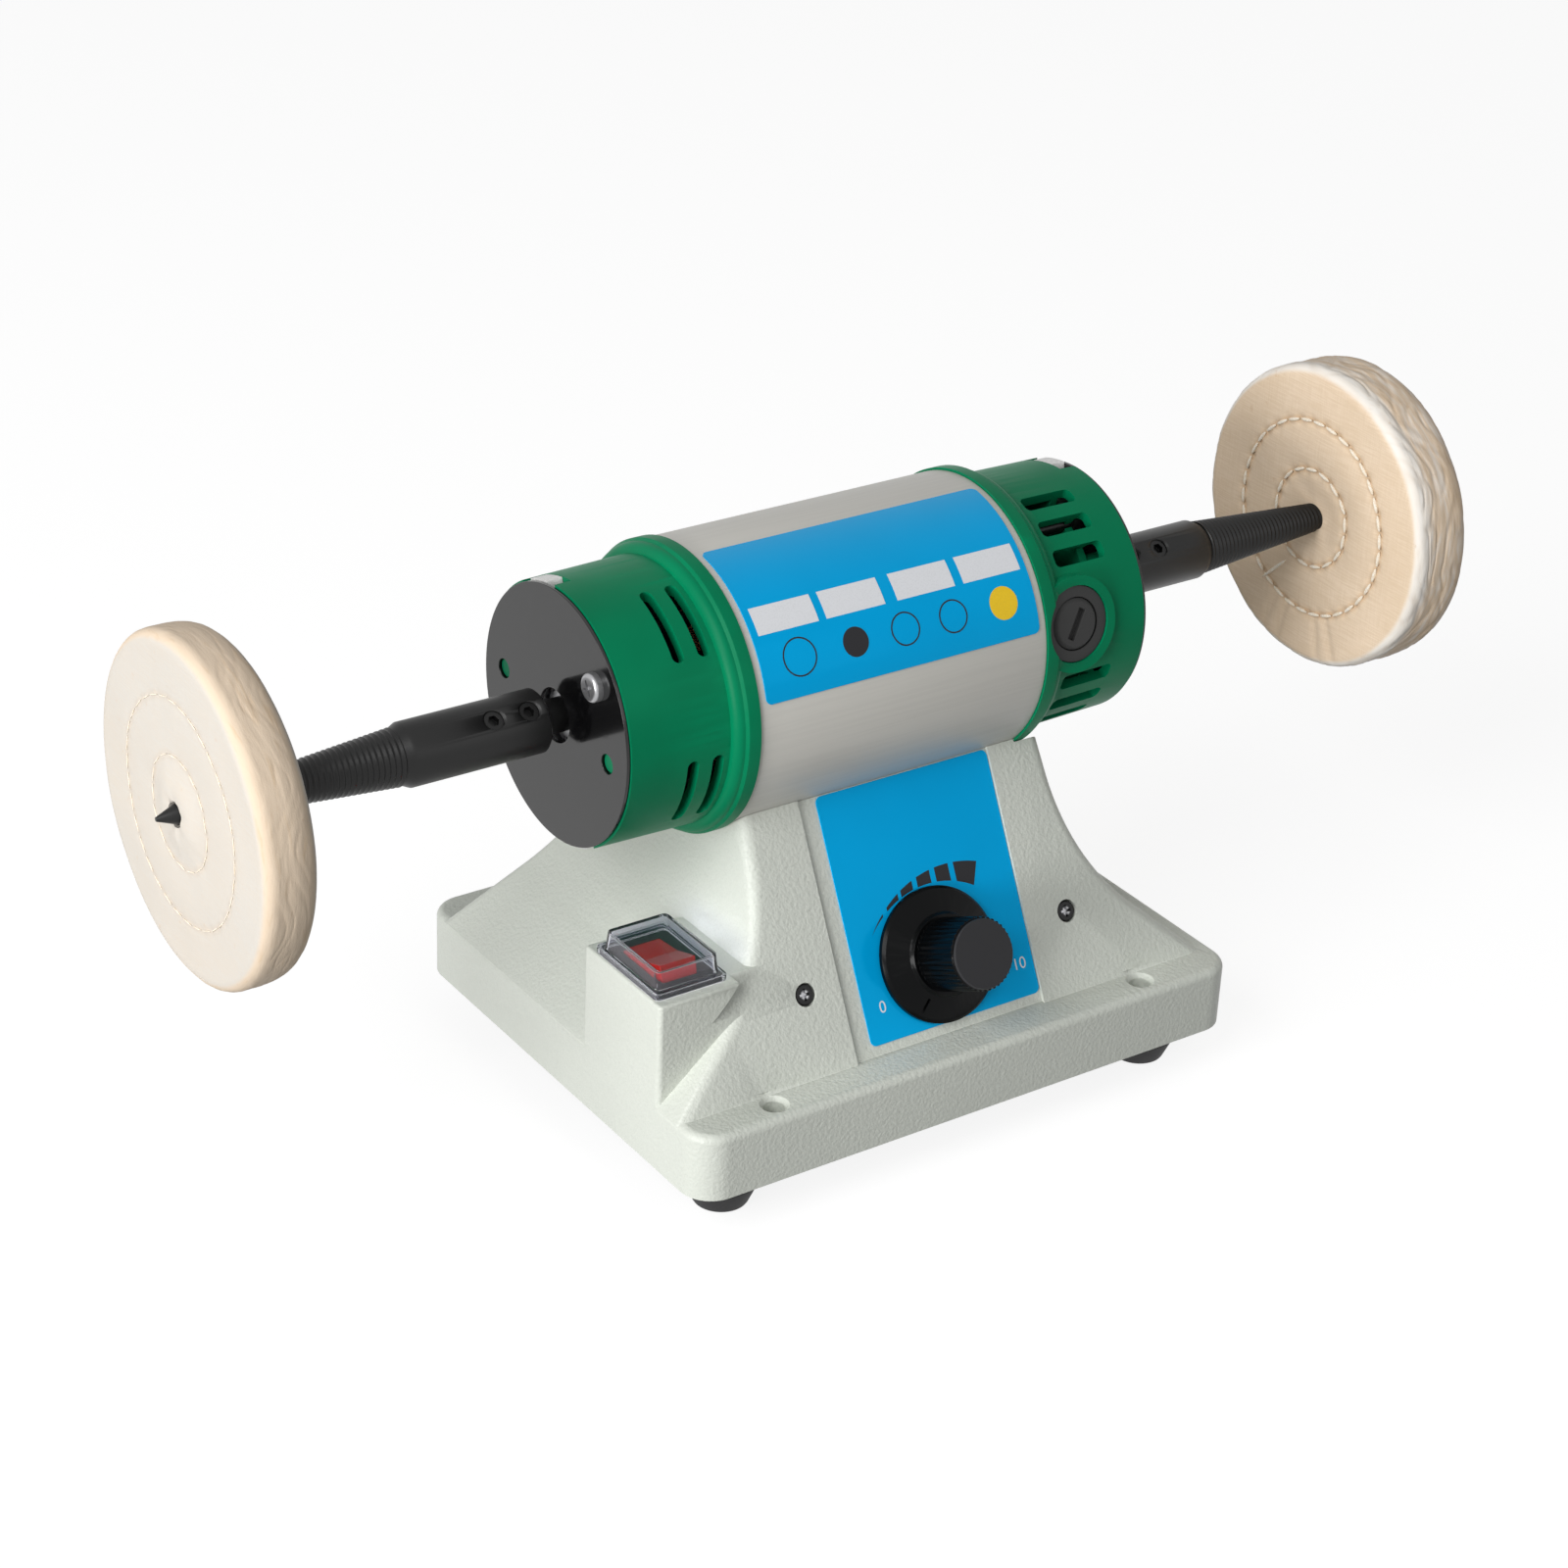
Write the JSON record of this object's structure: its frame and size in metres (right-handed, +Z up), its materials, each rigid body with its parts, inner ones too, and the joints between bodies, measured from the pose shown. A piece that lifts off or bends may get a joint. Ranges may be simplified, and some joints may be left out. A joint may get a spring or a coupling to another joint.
{
  "type": "polishing lathe",
  "caption": "Bench polishing lathe: cast base, horizontal motor with slotted end caps, a tapered threaded spindle with a cotton buff at each end, speed knob and covered rocker switch.",
  "frame": {"origin": "on the bench under the feet, midway between the two spindle points, under the motor axis", "axes": "+X along the spindles to the right as seen from the control panel, +Y to the back, +Z up"},
  "size_m": [0.426, 0.1616, 0.1851],
  "materials": {
    "cast_paint": "fine hammered light grey-green enamel",
    "tube_paint": "satin warm grey enamel",
    "green_plastic": "moulded green nylon, satin",
    "black_steel": "gloss black enamel",
    "black_oxide": "black oxide with light wear on the threads",
    "bright_steel": "bright plated screws",
    "ground_steel": "ground steel",
    "laminated_steel": "stacked laminations",
    "copper_wire": "lacquered copper wire",
    "cast_aluminium": "as cast",
    "rubber": "matt black rubber",
    "black_plastic": "satin black plastic",
    "carbon": "carbon brush",
    "cotton": "stitched unbleached cotton",
    "blue_label": "printed blue film",
    "red_plastic": "red plastic",
    "clear_plastic": "clear flexible plastic",
    "circuit_board": "glass-fibre board"
  },
  "bodies": {
    "base": {"base_casting": "cast_paint", "bottom_plate": "black_steel", "bottom_plate_screws": "bright_steel", "rubber_foot_front_left": "rubber", "rubber_foot_front_right": "rubber", "rubber_foot_back_left": "rubber", "rubber_foot_back_right": "rubber", "foot_screws": "bright_steel", "motor_tube": "tube_paint", "motor_mount_screws": "ground_steel", "left_end_cap": "green_plastic", "right_end_cap": "green_plastic", "left_end_disc": "black_steel", "right_end_disc": "black_steel", "end_disc_screws": "bright_steel", "left_bearing_bridge": "cast_aluminium", "right_bearing_bridge": "cast_aluminium", "bearing_bridge_screws": "bright_steel", "left_bearing_outer_ring": "ground_steel", "right_bearing_outer_ring": "ground_steel", "stator_core": "laminated_steel", "upper_field_coil": "copper_wire", "lower_field_coil": "copper_wire", "through_bolts": "black_oxide", "front_brush_holder": "black_plastic", "rear_brush_holder": "black_plastic", "front_brush": "carbon", "rear_brush": "carbon", "front_brush_spring": "ground_steel", "rear_brush_spring": "ground_steel", "front_brush_cap": "black_plastic", "rear_brush_cap": "black_plastic", "motor_label": "blue_label", "front_label": "blue_label", "front_screws": "black_oxide", "potentiometer_body": "black_plastic", "potentiometer_nut": "ground_steel", "control_bracket": "ground_steel", "control_board": "circuit_board", "switch_body": "black_plastic", "switch_terminals": "bright_steel", "switch_cover": "clear_plastic", "cable_gland": "black_plastic"},
    "rotor": {"rotor_shaft": "ground_steel", "armature_core": "laminated_steel", "armature_windings": "copper_wire", "commutator": "copper_wire", "cooling_fan": "black_plastic", "left_bearing_inner_ring": "ground_steel", "right_bearing_inner_ring": "ground_steel", "left_spindle": "black_oxide", "right_spindle": "black_oxide", "spindle_set_screws": "black_oxide", "left_buff": "cotton", "right_buff": "cotton"},
    "left_balls": {"left_ball_cage": "ground_steel"},
    "right_balls": {"right_ball_cage": "ground_steel"},
    "knob": {"speed_knob": "black_plastic", "potentiometer_shaft": "ground_steel"},
    "rocker": {"switch_rocker": "red_plastic"}
  },
  "joints": [
    {"name": "rotor_spin", "type": "hinge", "parent": "base", "child": "rotor", "pos_m": [0, 0, 0.1351], "axis": [1, 0, 0], "continuous": true},
    {"name": "left_balls_roll", "type": "hinge", "parent": "base", "child": "left_balls", "pos_m": [-0.084, 0, 0.1351], "axis": [1, 0, 0], "continuous": true},
    {"name": "right_balls_roll", "type": "hinge", "parent": "base", "child": "right_balls", "pos_m": [0.083, 0, 0.1351], "axis": [1, 0, 0], "continuous": true},
    {"name": "knob_turn", "type": "hinge", "parent": "base", "child": "knob", "pos_m": [0.0063, -0.05561, 0.05671], "axis": [0, 0.8869, -0.4619], "range_deg": [0, 285]},
    {"name": "rocker_press", "type": "hinge", "parent": "base", "child": "rocker", "pos_m": [-0.0769, -0.0355, 0.0669], "axis": [1, 0, 0], "range_deg": [0, 24]}
  ],
  "couplings": [
    {"joint": "left_balls_roll", "follows": "rotor_spin", "ratio": 0.36778},
    {"joint": "right_balls_roll", "follows": "rotor_spin", "ratio": 0.36778}
  ]
}
